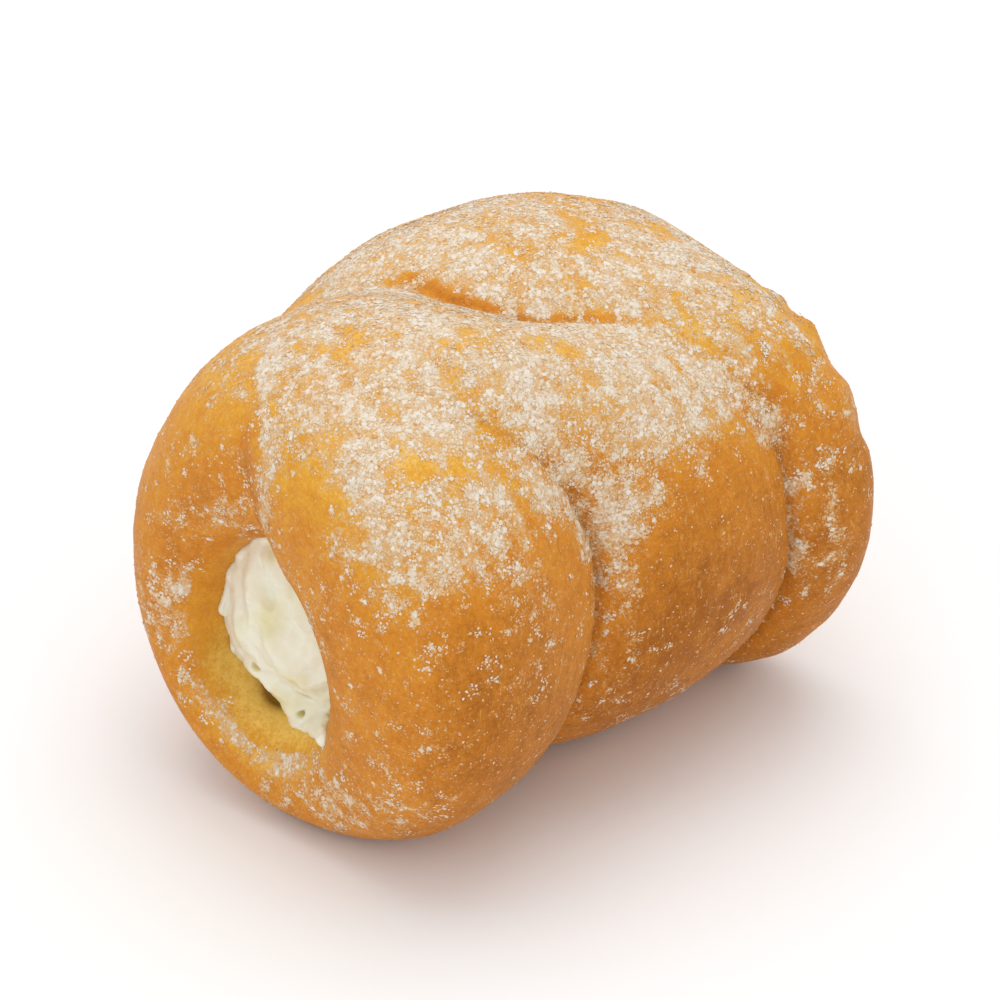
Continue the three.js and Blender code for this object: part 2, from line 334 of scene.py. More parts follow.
def dough_skin():
    around = int(2 * math.pi * ROLL_RADIUS / DOUGH_STEP)
    x = LATTICE_START + DOUGH_STEP * np.arange(int((BACK + LATTICE_SPARE) / DOUGH_STEP))
    theta = 2 * math.pi * np.arange(around) / around
    theta = np.where(theta > math.pi, theta - 2 * math.pi, theta)
    rho = LATTICE_INSIDE + DOUGH_STEP * np.arange(int(LATTICE_OUTWARD / DOUGH_STEP))
    gx, gt, gr = x[:, None, None], theta[None, :, None], rho[None, None, :]
    points = from_bore(gx, gr * np.sin(gt), gr * np.cos(gt))
    values = dough_at(gx, gr, gt, points[..., 2])

    def place(i, j, k):
        return points[i, j % around, k]
    return skin(values, place, True)


def relief(p, n, rise):
    """Unevenness of the crust: soft dents all over, knobbly shoulders at the back's upper right."""
    shoulder = ease(p[:, 0], 68, 80) * ease(-p[:, 1], 8, 22) * ease(p[:, 2], 42, 52)
    free = ease(p[:, 2], 0.5, 6) * ease(rise, -3, 3)
    soft = 0.42 * lump(p, 15, 1) + 0.2 * lump(p, 6.5, 2) + 0.09 * lump(p, 2.8, 3) + 0.04 * lump(p, 1.3, 4)
    return free * (soft + shoulder * (1.1 * lump(p, 5.0, 5) + 0.4 * lump(p, 2.4, 6)))


def strip_place(p):
    """Where each point lies on the strip: along, across and out, its angle of winding, and how far
    from the next turn."""
    x, rho, theta = seen_from_bore(p)
    turns = np.stack([turn(x, rho, theta, k) for k in range(-2, 2)])
    k = turns.argmin(0) - 2
    tau = np.degrees(theta) + 360 * k
    middle = (np.interp(tau, TAUS, FRONTS) + np.interp(tau, TAUS, REARS)) / 2
    ordered = np.sort(turns, 0)
    return np.radians(tau) * STRIP_RADIUS, x - middle, rho, tau, ordered[1] - ordered[0]


# Places where the sugar lies thicker or is missing: x, y and z in millimetres, radius, strength
RING_SPOTS = [
    (6.6, -22, 58, 12, 0.1), (7, -15, 62, 8, 0.1), (9, -8, 68, 5, 0.25), (3.5, -7, 10.5, 7, 0.25),
    (4.6, 25.6, 30.5, 5, 0.6), (6.4, 23.2, 36, 4, 0.3), (3.8, 25.3, 23.8, 2.6, 0.3),
    (5.1, 20.3, 18.5, 4.2, 0.35), (5.9, 16.1, 14.9, 3.6, 0.1), (7, 9.2, 13.2, 4, 0.1),
    (6, 24, 47, 3.5, 0.3), (6.5, 16, 51, 4, 0.4), (1.7, -16, 17, 6, 0.2), (5.8, -23.8, 55.7, 5, 0.3),
    (1.6, -12, 56.5, 4, 0.3), (4, -2, 63, 6, -0.75), (7, -24, 56, 8, -0.3), (8.2, -28.2, 52.3, 8, -0.5),
    (1.1, -25.4, 39.5, 5, -0.3), (6.2, 11.4, 12.9, 6, -0.5), (4.7, 18, 15.2, 5, -0.35),
    (8.7, 10.8, 69, 4.5, -0.4), (3.7, 25, 22, 4, -0.3), (7.9, -15.5, 65, 4, -0.3),
]
FRONT_LOBE_SPOTS = [
    (33, -18, 69, 11, 0.2), (30, -18.5, 68, 6, 0.15), (31, -24, 59, 5, 0.4), (25, 4, 78, 7, 0.3),
    (18.5, -17.3, 68, 3.5, -0.75), (13, -15, 68.5, 3, -0.55), (22.9, 6.3, 77.3, 3.2, -0.75),
    (31, -6, 77, 3, -0.6), (13.7, 19.7, 70, 6, -0.35), (23, -19, 66.7, 5, -0.45),
    (29, -16.8, 69.5, 4.5, -0.3),
]
MIDDLE_TURN_SPOTS = [
    (52, -27, 65, 8, 0.3), (38, -26, 60, 8, 0.25), (51, 22, 73, 12, 0.2), (44, -31, 56, 5, 0.35),
    (35, -27, 52, 5, 0.2), (43, -10, 75, 7, 0.3), (35.5, -28.5, 50.5, 4.5, 0.45), (36, -24, 61, 5, 0.3),
    (42, -30.5, 52, 5, 0.35), (46.5, -32.5, 52.5, 5, 0.3), (53.5, -33.5, 55, 4.5, 0.25),
    (43, -16, 73.5, 5, 0.2), (54, -22, 68.5, 7, 0.2), (60, -35, 53, 9, -0.45), (52, -35, 46, 10, -0.4),
    (36, -9, 76.5, 3, -0.6), (42.3, -13.1, 75, 3, -0.5), (58, 2, 77.5, 4, -0.4),
    (57.5, -12, 72.3, 3, -0.5), (59.7, -8.1, 75.1, 3.5, -0.4), (57.6, -7.6, 75, 3.5, -0.3),
    (41, 20, 71.8, 3.5, -0.3), (60, 11, 77.6, 4, -0.3),
]
BACK_TURN_SPOTS = [
    (84, -30, 62, 8, 0.1), (60, -12, 74, 7, 0.1), (64, -28, 60, 6, 0.35), (68, -10, 75, 8, 0.3),
    (62.5, -27, 64.4, 3.5, 0.4), (63.7, -30.6, 60.4, 3.5, 0.45), (65.4, -34.1, 55, 3.5, 0.5),
    (67.5, -36.3, 48, 3, 0.35), (80, -33, 60, 9, -0.4), (65, -2, 77, 5, -0.5),
    (75, -22, 68.5, 6, -0.45), (72.6, -31, 62, 7, -0.5), (78, -36, 17, 8, -0.3),
    (74.7, -37.4, 50.3, 4.5, -0.4), (78, -5.3, 74.4, 4.5, -0.3),
]
SUGAR_SPOTS = RING_SPOTS + FRONT_LOBE_SPOTS + MIDDLE_TURN_SPOTS + BACK_TURN_SPOTS

# Side from which the sugar fell. Crust that faces it is fully covered, at the limit the cover is half of
# that, and beyond it the crust gets bare. HEAPED is the thickest that it lies anywhere.
SUGAR_FROM = np.array([-0.133, -0.159, 0.978])
FULL_COVER = 0.84
COVER_LIMIT = 0.64
COVER_SHARPNESS = 8
HEAPED = 1.15

# Angle of the crease beside the strip's end, by the distance from the bore's middle
TIP_CREASE = curve([19, 27, 34, 38, 41], [5, -2, -2, 1.5, 12])


def near(value, middle, width):
    return np.exp(-((value - middle) / width) ** 2)


def bare_band(p, behind, angle):
    """Ragged band on top, bare of sugar, where the back turn dips under the middle turn's rim."""
    across = near(behind + 0.8 * lump(p, 3.4, 15), 2.0, 1.6)
    return across * ease(angle, -32, -22) * (1 - ease(angle, 12, 24))


def sugar_cover(p, n):
    """How thickly the sugar lies, from 0 to 1 or a little more where it is heaped."""
    x, rho, theta = seen_from_bore(p)
    angle = np.degrees(theta)
    cover = FULL_COVER / (1 + np.exp(-COVER_SHARPNESS * (n @ SUGAR_FROM - COVER_LIMIT)))
    for *spot, radius, strength in SUGAR_SPOTS:
        cover += strength * near(np.linalg.norm(p - np.array(spot), axis=1), 0, radius * 0.8)
    # Along the crease between the back and middle turns: a heaped rim, a bare step behind it
    behind = x - SEAM(angle)
    on_top = ease(angle, -70, -45) * (1 - ease(angle, 35, 55))
    down_side = ease(angle, -125, -95) * (1 - ease(angle, -60, -45))
    cover += 0.4 * near(behind, -2.5, 3.0) * on_top + 0.5 * near(behind, -1.6, 1.5) * down_side
    cover -= bare_band(p, behind, angle) * (0.75 + 0.5 * lump(p, 2.2, 16) + 0.35 * lump(p, 1.0, 17))
    cover += 0.35 * near(behind, 2.4, 3.4) * near(angle, -86, 28)
    # Along the crease behind the front lobe, and on the lobe's own edge
    behind = x - SEAM(angle + 360)
    cover += 0.4 * near(behind, 2.5, 2.6) * near(angle, -72, 13)
    cover += 0.3 * near(behind, -1.2, 1.5) * near(angle, -80, 20)
    # Beside the strip's end: a thin line of sugar, and a bare ring next to it
    beyond = (angle - TIP_CREASE(rho)) * rho * math.pi / 180
    front = 1 - ease(x, 15, 20)
    cover += 0.5 * near(beyond, -1.4, 1.9) * front * ease(rho, 20, 26)
    bare_ring = ease(beyond, 0, 1.5) * (1 - ease(angle, 50, 68)) * front
    cover = cover * (1 - 0.7 * bare_ring)
    cover += 0.15 * ease(-n[:, 0], 0.4, 0.9) * front
    cover -= 1.5 * throat_at(x, rho, 5.3, 8.3)
    along = np.stack([theta * ROLL_RADIUS * 0.35, x, rho * 0.7], -1)
    patchy = 0.26 * lump(along, 5.5, 11) + 0.34 * lump(along, 2.6, 12) + 0.24 * lump(p, 1.5, 13)
    cover += patchy * (0.4 + 0.6 * ease(cover, 0, 0.35))
    return np.clip(cover, 0, HEAPED) * ease(p[:, 2], 0.2, 2.0)


def throat_at(x, rho, shallow, deep):
    """Wall of the bore, coming in between two depths from either opening."""
    depth = np.minimum(x, BACK - x)
    return ease(depth, shallow, deep) * (1 - ease(rho, BORE + 1, BORE + 4)) * (depth < 30)


def make_dough():
    p, quads = dough_skin()
    p, n = settle(dough, p, 0.4 * DOUGH_STEP)
    shift = np.array([(p[:, 0].min() + p[:, 0].max()) / 2, (p[:, 1].min() + p[:, 1].max()) / 2, 0])
    x, rho, theta = seen_from_bore(p)
    strip = strip_place(p)
    rise = rho - BORE - 11
    p = p + n * relief(p, n, rise)[:, None]
    p[:, 2] = np.maximum(p[:, 2], 0)
    obj = add_mesh("dough_skin", p - shift, quads)
    cover = sugar_cover(p, n)
    add_values(obj, "sugar", cover)
    add_values(obj, "crust_tone_and_shade", crust_tone_and_shade(p, n, strip, rise))
    add_values(obj, "cream_edge_shade", cream_edge_shade(p))
    add_values(obj, "strip", np.stack(strip[:3], 1) * MM)
    return obj, shift, p, n, quads, cover


# Places where the crust is darker or lighter: x, y and z in millimetres, radius, strength
CRUST_TONE_SPOTS = [
    (48, -34, 33, 12, 0.14), (38, -30, 20, 10, 0.08), (20, -34, 25, 10, 0.06), (31, -30, 41, 11, -0.14),
]


def crust_tone_and_shade(p, n, strip, rise):
    """How dark the crust is, from 0, pale, to 1, dark: its own colouring, with painted shade in the
    creases, partly painted light and shade by the way each side faces, and darker towards the floor.
    """
    # Paler on top and on the front face, darker on the side facing -y: partly the crust's own colouring,
    # partly painted light and shade by the way each side faces
    dark = 0.62 - 0.34 * ease(n[:, 2], 0.1, 0.9) + 0.1 * ease(-n[:, 1], 0.2, 1)
    dark -= 0.1 * ease(-n[:, 0], 0.5, 0.95)
    dark += 0.08 * lump(p, 14, 21) + 0.045 * lump(p, 5, 22)
    _, _, rho, tau, valley = strip
    x, _, theta = seen_from_bore(p)
    dark += 0.75 * (0.27 - dark) * throat_at(x, rho, 2.5, 7)
    throat = throat_at(x, rho, 5.5, 10.5) * ease(np.degrees(theta) % 360, 85, 150)
    dark = dark * (1 - throat) + 0.03 * throat
    # Painted shade along the creases between two turns, except on the tops and in the throat
    dark += 0.12 * (1 - ease(valley, 0, 2.5)) * (1 - throat) * (1 - ease(n[:, 2], 0.3, 0.7))
    # Darker towards the floor
    dark += 0.25 * (1 - ease(p[:, 2], 0.3, 3.0))
    # Darker where the crust faces down: partly its own colouring, partly painted shade
    dark += 0.08 * (1 - ease(n[:, 2], -0.1, 0.35)) * (1 - throat)
    angle = np.degrees(theta)
    # The band's crust is darker: its own bare colour, and painted shade of the crease under the rim
    dark += 0.36 * bare_band(p, x - SEAM(angle), angle)
    for *spot, radius, strength in CRUST_TONE_SPOTS:
        dark += strength * near(np.linalg.norm(p - np.array(spot), axis=1), 0, radius)
    return np.clip(dark, 0, 1)


def cream_edge_shade(p):
    """Painted shade on the wall in the pocket under the ricotta's torn lower edge, and a fainter one on
    the front part of the bore's wall.
    """
    x, rho, theta = seen_from_bore(p)
    *pocket, size = POCKET
    here = np.stack([x, rho * np.sin(theta), rho * np.cos(theta)], -1)
    away = np.linalg.norm(here - pocket, axis=-1)
    edge = (1 - ease(rho - BORE, -1.5, 2.5)) * (1 - ease(x, 16, 20))
    edge = edge * ease(np.degrees(theta) % 360, 90, 120)
    return np.maximum(1 - ease(away, size * 0.7, size * 2.2), 0.3 * edge)


# Ricotta

# The torn lower edge of the front face, a nick beside it and pits: y and z from the bore's middle,
# their radii, depth
CREAM_TEAR = (4.4, -12.9, 4.4, 3.0, 4.5)
CREAM_NICK = (-8.6, -14.4, 1.0, 1.2, 1.0)
CREAM_PITS = [(-3.6, -11.6, 0.62, 0.5, 1.6), (4.4, -6.2, 1.15, 0.65, 0.6), (-4.5, -8.0, 1.4, 0.65, 0.6)]
# Places where the whey shows through: y, z and radii
CREAM_WHEY = [
    (1.2, 3.5, 2.8, 3.4), (0.5, -10.5, 4.5, 2.2), (-3.6, -4.6, 2.6, 2.0), (2.6, 12.4, 1.4, 1.1),
    (7.5, -2.0, 1.0, 1.6),
]
# Soft ridges on the front face: y, z, direction in degrees, half length, half width, height
CREAM_RIDGES = [
    (5.5, 7.0, 80, 6, 1.5, 1.2), (7.8, -0.5, 65, 3.5, 1.4, 1.2), (0.5, 0.5, 65, 5, 1.8, 0.9),
    (-4.5, -4.0, 50, 4, 1.5, 0.8), (1.5, -8.8, 20, 4, 1.2, 1.0), (-3.4, -12.8, 15, 4.2, 2.0, 2.0),
    (6.0, -7.5, -25, 2.6, 1.1, 0.9), (3.0, 11.0, 60, 2.5, 1.3, 0.7),
]
# How far ricotta creeps along the wall in front of its face, and how thick it is there
CREEP = 0.9
CREEP_DEPTH = 0.7
# A smear of ricotta on the wall by the lip: its two ends in the bore's own frame, half width and depth
SMEAR = ((12.5, -5.3, -12.5), (5.3, -12.6, -8.2), 2.3)
SMEAR_DEPTH = 1.2
# Grid on which the two faces are worked out
FACE_STEP = 0.15
FACE_REACH = 24


def cream_face(y, z):
    """Folds of the cream's face, in millimetres."""
    q = np.stack(np.broadcast_arrays(y, z, 0 * y), -1)
    bend = q + 1.6 * np.stack([lump(q, 5, 31), lump(q, 5, 32), 0 * q[..., 0]], -1)
    ridged = 1 - np.abs(lump(bend, 4.2, 33)) * 1.6
    fine = 1 - np.abs(lump(bend, 1.9, 37)) * 1.6
    return (0.6 * lump(bend, 8.5, 34) - 0.55 * ridged - 0.24 * fine + 0.25 * lump(q, 2.6, 35)
            + 0.14 * lump(q, 1.1, 36) + 0.06 * lump(q, 0.55, 30))


def face_tables():
    """Where the front face and the back face lie along the roll, over y and z from the bore's middle."""
    line = np.arange(-FACE_REACH, FACE_REACH + FACE_STEP, FACE_STEP)
    y, z = np.meshgrid(line, line, indexing="ij")
    dome = (y * y + z * z) * CREAM_DOME
    front = CREAM_FRONT + dome + cream_face(y, z)
    for ry, rz, turned, length, width, height in CREAM_RIDGES:
        c, d = math.cos(math.radians(turned)), math.sin(math.radians(turned))
        along, across = (y - ry) * c + (z - rz) * d, (z - rz) * c - (y - ry) * d
        front = front - height * np.exp(-(along / length) ** 2 - (across / width) ** 2)
    return front, CREAM_BACK - dome - cream_face(y + 40, z)


FRONT_FACE, BACK_FACE = face_tables()


def look_up(table, y, z):
    i = np.clip((y + FACE_REACH) / FACE_STEP, 0, len(table) - 1.001)
    k = np.clip((z + FACE_REACH) / FACE_STEP, 0, len(table) - 1.001)
    a, b = i.astype(int), k.astype(int)
    u, v = i - a, k - b
    low = table[a, b] * (1 - u) + table[a + 1, b] * u
    high = table[a, b + 1] * (1 - u) + table[a + 1, b + 1] * u
    return low * (1 - v) + high * v


def smear_at(x, y, z):
    start, end = np.array(SMEAR[0]), np.array(SMEAR[1])
    q = np.stack(np.broadcast_arrays(x, y, z), -1) - start
    line = end - start
    t = np.clip((q @ line) / (line @ line), 0, 1)
    ragged = 0.35 * lump(q, 1.2, 48)
    return np.linalg.norm(q - t[..., None] * line, axis=-1) - SMEAR[2] * (1 - 0.5 * t) + ragged


def cream(p):
    x, rho, theta = seen_from_bore(p)
    y, z = rho * np.sin(theta), rho * np.cos(theta)
    front = look_up(FRONT_FACE, y, z) - x
    back = x - look_up(BACK_FACE, y, z)
    plug = soft_max(np.maximum(front, back), rho - BORE - CREAM_SPREAD, 1.5)
    crust = dough(p)
    q = np.stack(np.broadcast_arrays(x, y, z), -1)
    creep = np.maximum(front, back) - 0.3 - CREEP * lump(q, 2.4, 38)
    plug = soft_min(plug, soft_max(creep, crust - CREEP_DEPTH, 0.3), 0.3)
    for hy, hz, ry, rz, deep in [CREAM_TEAR, CREAM_NICK] + CREAM_PITS:
        d = np.sqrt((front / deep) ** 2 + ((y - hy) / ry) ** 2 + ((z - hz) / rz) ** 2)
        plug = soft_max(plug, (1 - d) * min(ry, rz, deep), 0.3)
    plug = soft_min(plug, soft_max(smear_at(x, y, z), crust - SMEAR_DEPTH, 0.6), 1.0)
    return soft_max(plug, GAP - crust, 0.2)


def cream_skin():
    """The plug's surface, in fine steps along the roll at its two faces and coarse ones between."""
    reach = BORE + CREAM_SPREAD + 3
    ends = np.arange(0, 16, CREAM_STEP)
    x = np.concatenate([2 + ends, np.arange(20, 68, 2.0), CREAM_BACK + 2 - ends[::-1]])
    across = -reach + CREAM_STEP * np.arange(int(2 * reach / CREAM_STEP) + 1)
    gx, gy, gz = x[:, None, None], across[None, :, None], across[None, None, :]
    points = from_bore(gx, gy, gz)
    values = cream(points)

    def place(i, j, k):
        return points[i, j, k]
    return skin(values, place, False)


def make_cream(shift):
    p, quads = cream_skin()
    p, _ = settle(cream, p, 0.4 * CREAM_STEP)
    obj = add_mesh("ricotta_fill", p - shift, quads)
    x, rho, theta = seen_from_bore(p)
    y, z = rho * np.sin(theta), rho * np.cos(theta)
    at_front = x < BACK / 2
    hy, hz, ry, rz, _ = CREAM_TEAR
    torn = 1 - ease(np.hypot((y - hy) / ry, (z - hz) / rz), 0.8, 1.2)
    # Painted shade: darker and yellower deeper inside the torn edge and in the pits
    deep = 0.6 * torn * ease(x - look_up(FRONT_FACE, y, z), 0.8, 4)
    for hy, hz, ry, rz, _ in CREAM_PITS:
        deep = np.maximum(deep, 1 - ease(np.hypot((y - hy) / ry, (z - hz) / rz), 0.5, 1.15))
    whey = 0.45 * ease(lump(p, 4.5, 47), 0.1, 0.8)
    for hy, hz, ry, rz in CREAM_WHEY:
        whey = np.maximum(whey, near(np.hypot((y - hy) / ry, (z - hz) / rz), 0, 0.9) * at_front)
    add_values(obj, "deep", deep * at_front)
    add_values(obj, "whey", whey)
    return obj


# Sugar

def rotations(rng, count):
    q = rng.normal(size=(count, 4))
    q /= np.linalg.norm(q, axis=1, keepdims=True)
    w, x, y, z = q.T
    return np.stack([
        np.stack([1 - 2 * (y * y + z * z), 2 * (x * y - w * z), 2 * (x * z + w * y)], -1),
        np.stack([2 * (x * y + w * z), 1 - 2 * (x * x + z * z), 2 * (y * z - w * x)], -1),
        np.stack([2 * (x * z - w * y), 2 * (y * z + w * x), 1 - 2 * (x * x + y * y)], -1)], 1)


# Crystal shapes, about one unit wide: corners, then faces
CUBE = (
    np.array([[a, b, c] for c in (-1, 1) for b in (-1, 1) for a in (-1, 1)]) * 0.45,
    np.array([[0, 2, 3, 1], [4, 5, 7, 6], [0, 1, 5, 4], [2, 6, 7, 3], [0, 4, 6, 2], [1, 3, 7, 5]]))
GEM = (
    np.array([[1, 0, 0], [-0.5, 0.87, 0], [-0.5, -0.87, 0], [0, 0, 0.8], [0, 0, -0.8]]) * 0.62,
    np.array([[0, 1, 3], [1, 2, 3], [2, 0, 3], [1, 0, 4], [2, 1, 4], [0, 2, 4]]))
SHARD = (
    np.array([[1, 1, 1], [1, -1, -1], [-1, 1, -1], [-1, -1, 1]]) * 0.45,
    np.array([[0, 1, 2], [0, 2, 3], [0, 3, 1], [1, 3, 2]]))

# Grains drawn by how thick the sugar lies, fine to coarse. Tries are the places drawn, of which up to
# most are kept; cover runs from the thickness where the first appear to where all do.
GRAINS = {
    "sugar_dust": dict(tries=150000, most=36000, cover=(0.2, 0.8), seed=41, size=(0.22, 0.4),
                       flat=0.85, heap=0.03, shape=SHARD),
    "sugar_fine": dict(tries=130000, most=33000, cover=(0.3, 0.9), seed=43, size=(0.26, 0.46),
                       flat=0.72, heap=0.04, shape=GEM),
    "sugar_crystals": dict(tries=80000, most=16000, cover=(0.4, 1.05), seed=45, size=(0.36, 0.66),
                           flat=0.6, heap=0.05, shape=CUBE),
}
CLUMP_TRIES = 12000
CLUMPS = 2500
PER_CLUMP = 13
LOOSE = 14000

# How flat a crystal lies where the sugar is thick
FLATTEST = 0.92

# How much warmer a crystal is painted at its foot: painted light, the crust's colour as if it shone
# through the crystal
FOOT = 0.85


def make_grains(name, rng, centres, ups, sizes, tint, flats, shape):
    """Crystals at the given centres, each turned and stretched its own way, lying flat, as one mesh.
    Their foot is painted in the crust's warm colour, as painted light shining through them."""
    count = len(centres)
    corners, faces = shape
    stretch = sizes[:, None] * rng.uniform(0.72, 1.2, (count, 3))
    local = corners[None] * stretch[:, None, :] * rng.uniform(0.85, 1.15, (count, len(corners), 3))
    points = np.einsum("nij,nkj->nki", rotations(rng, count), local)
    height = np.einsum("nkj,nj->nk", points, ups)
    points = points - (flats[:, None] * height)[:, :, None] * ups[:, None, :] + centres[:, None, :]
    points[..., 2] = np.maximum(points[..., 2], 0)
    index = faces[None] + (np.arange(count) * len(corners))[:, None, None]
    obj = add_mesh(name, points.reshape(-1, 3), index.reshape(-1, faces.shape[1]), smooth=False)
    foot = np.clip(height / sizes[:, None], -0.5, 0.5)
    clear = rng.uniform(0, 1.6, (count, 1))
    # Painted light: warmer at the foot and, in clearer crystals, less white at the top
    add_values(obj, "tint", (tint[:, None] + FOOT * foot - clear * np.maximum(foot, 0)).ravel())
    return obj


def scatter(rng, p, n, quads, cover, count):
    """Random places on the crust, evenly by area, with their direction and cover."""
    a, b, c, d = (p[quads[:, i]] for i in range(4))
    area = np.linalg.norm(np.cross(c - a, d - b), axis=1) / 2
    area = area * (cover[quads].max(1) > 0.01)
    pick = rng.choice(len(quads), count, p=area / area.sum())
    u, v = rng.uniform(size=(2, count, 1))
    q = quads[pick]

    def blend(values):
        w = values if values.ndim == 2 else values[:, None]
        return ((w[q[:, 0]] * (1 - u) + w[q[:, 1]] * u) * (1 - v)
                + (w[q[:, 3]] * (1 - u) + w[q[:, 2]] * u) * v)
    up = blend(n)
    return blend(p), up / np.linalg.norm(up, axis=1, keepdims=True), blend(cover)[:, 0]


def settled(rng, at, up, thick, sizes, heap):
    """Grain centres, partly sunk in the crust, and heaped where the sugar is thick."""
    lift = sizes * rng.uniform(-0.06, 0.06, len(sizes)) + heap * thick * rng.uniform(0, 1, len(sizes)) ** 2
    return at + up * lift[:, None]


def patches(at, thick):
    """How thick the sugar lies, with its small heaps and gaps."""
    return thick + 0.3 * lump(at, 1.5, 13) + 0.3 * lump(at, 0.8, 14)


def chosen(rng, crust, tries, most, cover, seed):
    """Places for one kind of grain, drawn in patches by how thick the sugar lies."""
    at, up, thick = scatter(rng, *crust, tries)
    patch = patches(at, thick) + 0.15 * lump(at, 0.4, seed)
    keep = np.nonzero(patch > rng.uniform(*cover, len(at)))[0][:most]
    return at[keep], up[keep], patch[keep]


def clumped(rng, crust, most):
    """Places in small round heaps of a few crystals, more of them where the sugar lies thick."""
    at, up, thick = scatter(rng, *crust, CLUMP_TRIES)
    chance = 0.02 + 0.9 * np.clip(patches(at, thick), 0, 1) ** 2
    keep = np.nonzero(chance > rng.uniform(0.0, 1.0, len(at)))[0][:most]
    centres, ups = np.repeat(at[keep], PER_CLUMP, 0), np.repeat(up[keep], PER_CLUMP, 0)
    wide = np.repeat(rng.uniform(0.2, 0.75, len(keep)), PER_CLUMP)
    drift = rng.normal(size=centres.shape) * wide[:, None]
    drift -= ups * (drift * ups).sum(1, keepdims=True)
    far = np.linalg.norm(drift, axis=1)
    lift = np.maximum(wide * 0.25 - far * 0.25, 0) * rng.uniform(0, 1, len(far))
    size = rng.uniform(0.3, 0.56, len(far))
    thick = np.repeat(rng.uniform(0.6, 1.3, len(keep)), PER_CLUMP)
    return centres + drift + ups * lift[:, None], ups, thick, size


def loose(rng, crust, tries):
    """Single crystals all over the outside, whatever the cover."""
    p, n, quads, _ = crust
    at, up, _ = scatter(rng, p, n, quads, np.full(len(p), 0.1), tries)
    _, rho, _ = seen_from_bore(at)
    keep = (at[:, 2] > 1) & (rho > BORE + 8)
    at, up = at[keep], up[keep]
    size = 0.2 + 0.4 * rng.uniform(0, 1, len(at)) ** 2
    thick = rng.uniform(-0.2, 1.0, len(at)) ** 2
    return at, up, thick, size


def make_sugar(shift, *crust):
    """All the sugar; crust is the dough's points, their directions, its quads and its cover."""
    rng = np.random.default_rng(20)
    thin = 1
    pieces = []

    def add(name, at, up, thick, sizes, flat, heap, shape):
        flats = flat + 0.8 * (FLATTEST - flat) * np.clip(thick - 0.15, 0, 1)
        centres = settled(rng, at, up, np.clip(thick, 0, 1.5), sizes, heap) - shift
        tint = np.clip(0.65 * thick + 0.06 + rng.normal(0, 0.18, len(at)), 0, 1)
        pieces.append(make_grains(name, rng, centres, up, sizes, tint, flats, shape))

    for name, kind in GRAINS.items():
        at, up, thick = chosen(rng, crust, kind["tries"] // thin, kind["most"] // thin, kind["cover"],
                               kind["seed"])
        size = rng.uniform(*kind["size"], len(at))
        add(name, at, up, thick, size, kind["flat"], kind["heap"], kind["shape"])
    add("sugar_clumps", *clumped(rng, crust, CLUMPS // thin), 0.55, 0.03, GEM)
    add("sugar_loose", *loose(rng, crust, LOOSE // thin), 0.5, 0, GEM)
    return pieces


# Materials

def srgb(r, g, b):
    linear = [c / 255 / 12.92 if c <= 10 else ((c / 255 + 0.055) / 1.055) ** 2.4 for c in (r, g, b)]
    return (*linear, 1.0)


class Nodes:
    """Short way to write a material's nodes."""

    def __init__(self, name):
        self.material = bpy.data.materials.new(name)
        self.material.use_nodes = True
        self.tree = self.material.node_tree
        self.shader = self.tree.nodes["Principled BSDF"]

    def add(self, kind, inputs=None, **settings):
        node = self.tree.nodes.new("ShaderNode" + kind)
        for key, value in settings.items():
            setattr(node, key, value)
        for key, value in (inputs or {}).items():
            self.put(node.inputs[key], value)
        return node

    def put(self, socket, value):
        if isinstance(value, bpy.types.NodeSocket):
            self.tree.links.new(value, socket)
        else:
            socket.default_value = value

    def math(self, operation, a, b=0.0, clamp=False):
        return self.add("Math", {0: a, 1: b}, operation=operation, use_clamp=clamp).outputs[0]

    def attribute(self, name, output="Fac"):
        return self.add("Attribute", attribute_name=name).outputs[output]

    def noise(self, vector, scale, detail=2.0, rough=0.5):
        inputs = {"Vector": vector, "Scale": scale, "Detail": detail, "Roughness": rough}
        return self.add("TexNoise", inputs).outputs["Fac"]

    def remap(self, value, low, high, to_low=0.0, to_high=1.0, kind="SMOOTHSTEP"):
        inputs = {"Value": value, "From Min": low, "From Max": high, "To Min": to_low, "To Max": to_high}
        return self.add("MapRange", inputs, interpolation_type=kind).outputs["Result"]

    def vary(self, value, noise, low, high, clamp=False):
        """The value raised or lowered by a noise, between the two amounts."""
        return self.math("ADD", value, self.remap(noise, 0.3, 0.7, low, high, "LINEAR"), clamp)

    def mix(self, factor, a, b):
        node = self.add("Mix", data_type="RGBA")
        self.put(node.inputs["Factor"], factor)
        self.put(node.inputs["A"], a)
        self.put(node.inputs["B"], b)
        return node.outputs["Result"]

    def ramp(self, value, stops):
        node = self.add("ValToRGB", {"Fac": value})
        points = node.color_ramp.elements
        while len(points) < len(stops):
            points.new(0.5)
        for point, (place, colour) in zip(points, stops):
            point.position = place
            point.color = colour
        return node.outputs["Color"]

    def bump(self, height, distance, strength=1.0, normal=None):
        inputs = {"Height": height, "Distance": distance, "Strength": strength}
        if normal is not None:
            inputs["Normal"] = normal
        return self.add("Bump", inputs).outputs["Normal"]

    def finish(self, **inputs):
        for key, value in inputs.items():
            self.put(self.shader.inputs[key.replace("_", " ")], value)
        return self.material


